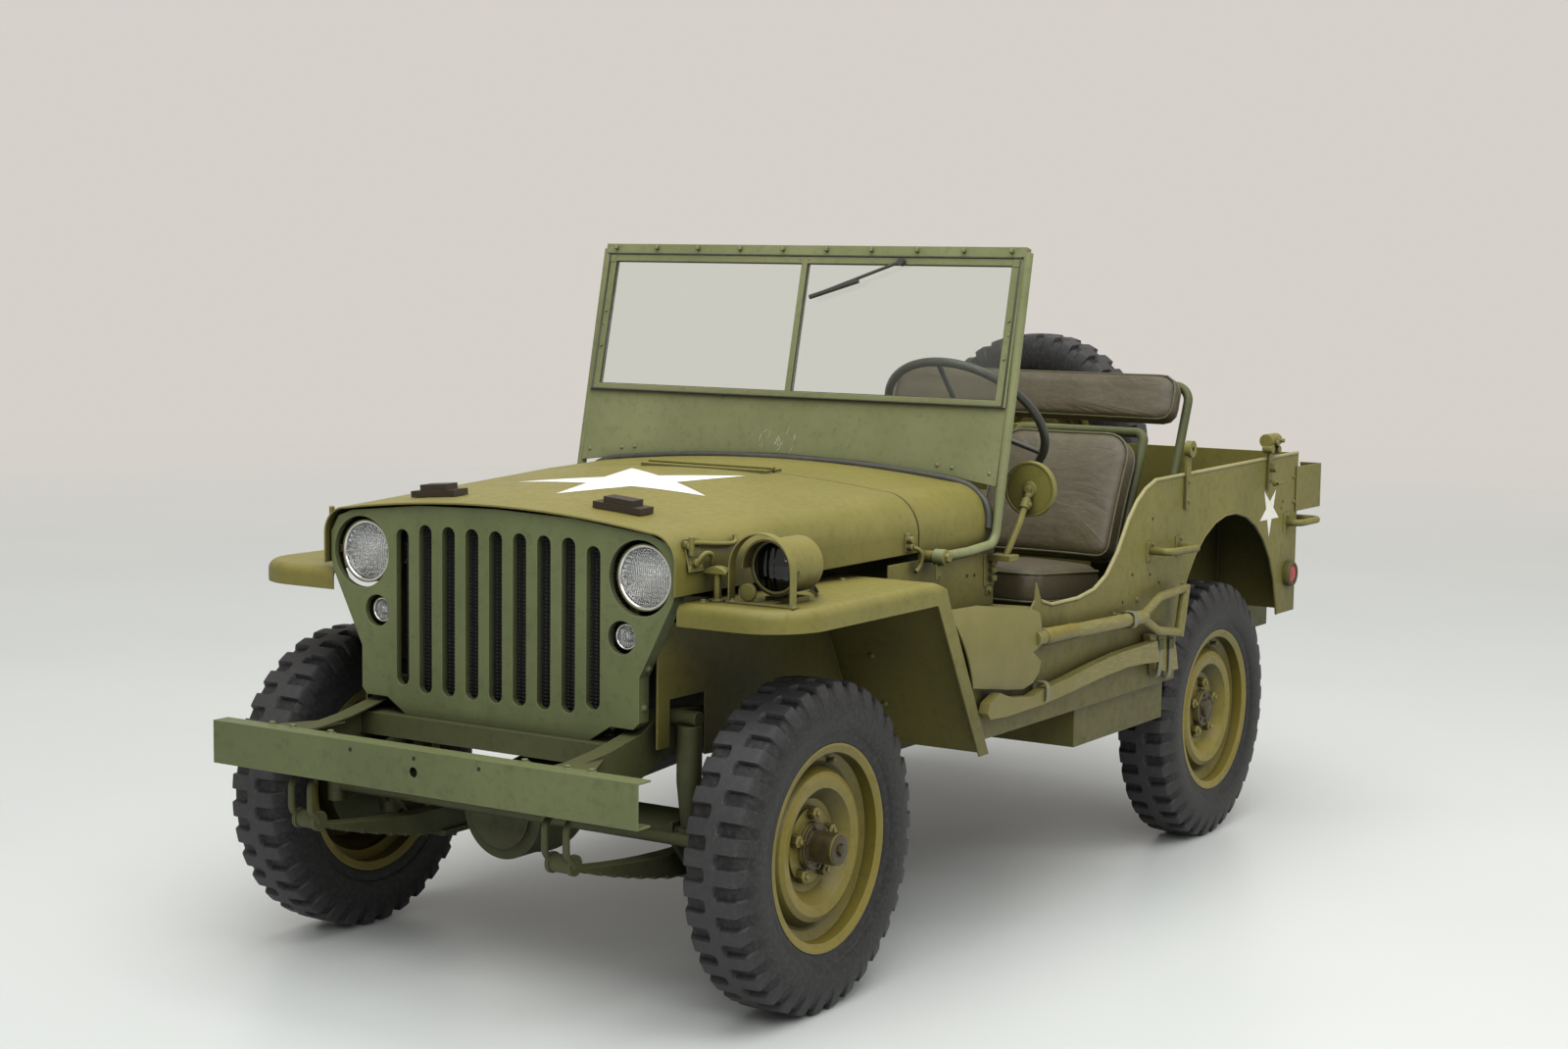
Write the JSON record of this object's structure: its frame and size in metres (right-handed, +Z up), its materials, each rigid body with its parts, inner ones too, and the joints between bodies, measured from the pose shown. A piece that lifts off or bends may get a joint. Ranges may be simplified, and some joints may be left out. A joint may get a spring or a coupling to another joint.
{
  "type": "army_4x4_car",
  "caption": "Open army 4x4 car with slotted grille, flat fenders, folding windshield, hinged hood, steering road wheels, tipping passenger seat and rear spare wheel",
  "frame": {"origin": "middle of the car's length and width, on the ground", "axes": "X to the car's left, -Y to its front, Z up"},
  "size_m": [1.574, 3.306, 1.6087],
  "materials": {
    "olive_paint": "satin olive drab paint with light wear",
    "dark_iron": "dark painted castings and pipes, dull",
    "tyre_rubber": "charcoal bar-tread rubber, matt",
    "clear_glass": "clear flat glass",
    "brown_canvas": "worn brown canvas over padding",
    "dark_wood": "dark worn wood",
    "black_rubber": "black rubber blade on a dark arm"
  },
  "bodies": {
    "chassis": {"frame_rails": "olive_paint", "front_bumper": "olive_paint", "rear_bumperettes": "olive_paint", "pintle_hook": "olive_paint", "front_axle": "olive_paint", "rear_axle": "olive_paint", "leaf_springs": "olive_paint", "shock_absorbers": "olive_paint", "engine_block": "dark_iron", "drive_line": "dark_iron", "exhaust": "dark_iron", "spare_wheel": "olive_paint", "spare_tyre": "tyre_rubber", "steering_column": "olive_paint", "grille": "olive_paint", "radiator": "dark_iron", "lamps": "olive_paint", "lamp_lenses": "clear_glass", "fender_left": "olive_paint", "fender_right": "olive_paint", "cowl": "olive_paint", "body_tub": "olive_paint", "body_side_left": "olive_paint", "body_side_right": "olive_paint", "rear_body": "olive_paint", "seat_frames": "olive_paint", "driver_seat_cushions": "brown_canvas", "rear_seat_cushions": "brown_canvas", "side_tools": "olive_paint", "body_brackets": "olive_paint"},
    "knuckle_left": {"knuckle_left": "olive_paint"},
    "knuckle_right": {"knuckle_right": "olive_paint"},
    "tie_rod": {"tie_rod": "olive_paint"},
    "wheel_front_left": {"wheel_front_left": "olive_paint", "tyre_front_left": "tyre_rubber"},
    "wheel_front_right": {"wheel_front_right": "olive_paint", "tyre_front_right": "tyre_rubber"},
    "wheel_rear_left": {"wheel_rear_left": "olive_paint", "tyre_rear_left": "tyre_rubber"},
    "wheel_rear_right": {"wheel_rear_right": "olive_paint", "tyre_rear_right": "tyre_rubber"},
    "steering_wheel": {"steering_wheel": "olive_paint"},
    "hood": {"hood": "olive_paint", "hood_blocks": "dark_wood"},
    "windshield": {"windshield_frame": "olive_paint", "windshield_glass": "clear_glass", "wiper": "black_rubber"},
    "passenger_seat": {"passenger_seat_frame": "olive_paint", "passenger_seat_cushions": "brown_canvas"}
  },
  "joints": [
    {"name": "wheel_front_left_spin", "type": "hinge", "parent": "knuckle_left", "child": "wheel_front_left", "pos_m": [0.622, -1.137, 0.352], "axis": [1, 0, 0], "continuous": true},
    {"name": "wheel_front_right_spin", "type": "hinge", "parent": "knuckle_right", "child": "wheel_front_right", "pos_m": [-0.622, -1.137, 0.352], "axis": [1, 0, 0], "continuous": true},
    {"name": "wheel_rear_left_spin", "type": "hinge", "parent": "chassis", "child": "wheel_rear_left", "pos_m": [0.622, 0.895, 0.352], "axis": [1, 0, 0], "continuous": true},
    {"name": "wheel_rear_right_spin", "type": "hinge", "parent": "chassis", "child": "wheel_rear_right", "pos_m": [-0.622, 0.895, 0.352], "axis": [1, 0, 0], "continuous": true},
    {"name": "steer_left", "type": "hinge", "parent": "chassis", "child": "knuckle_left", "pos_m": [0.52, -1.137, 0.352], "axis": [0, 0, 1], "range_deg": [-26, 26]},
    {"name": "steer_right", "type": "hinge", "parent": "chassis", "child": "knuckle_right", "pos_m": [-0.52, -1.137, 0.352], "axis": [0, 0, 1], "range_deg": [-26, 26]},
    {"name": "tie_rod_swing", "type": "hinge", "parent": "knuckle_left", "child": "tie_rod", "pos_m": [0.515, -1.324, 0.372], "axis": [0, 0, 1], "range_deg": [-26, 26]},
    {"name": "steering_wheel_turn", "type": "hinge", "parent": "chassis", "child": "steering_wheel", "pos_m": [0.37, 0.013, 1.178], "axis": [0, 0.7193, 0.6947], "range_deg": [-312, 312]},
    {"name": "hood_lift", "type": "hinge", "parent": "chassis", "child": "hood", "pos_m": [0, -0.578, 1.083], "axis": [-1, 0, 0], "range_deg": [0, 115]},
    {"name": "windshield_fold", "type": "hinge", "parent": "chassis", "child": "windshield", "pos_m": [0, -0.557, 0.904], "axis": [-1, 0, 0], "range_deg": [-105, 0]},
    {"name": "passenger_seat_tip", "type": "hinge", "parent": "chassis", "child": "passenger_seat", "pos_m": [-0.425, -0.047, 0.514], "axis": [1, 0, 0], "range_deg": [0, 40]}
  ],
  "couplings": [
    {"joint": "steer_right", "follows": "steer_left", "ratio": 1},
    {"joint": "tie_rod_swing", "follows": "steer_left", "ratio": -1},
    {"joint": "steering_wheel_turn", "follows": "steer_left", "ratio": 12}
  ]
}
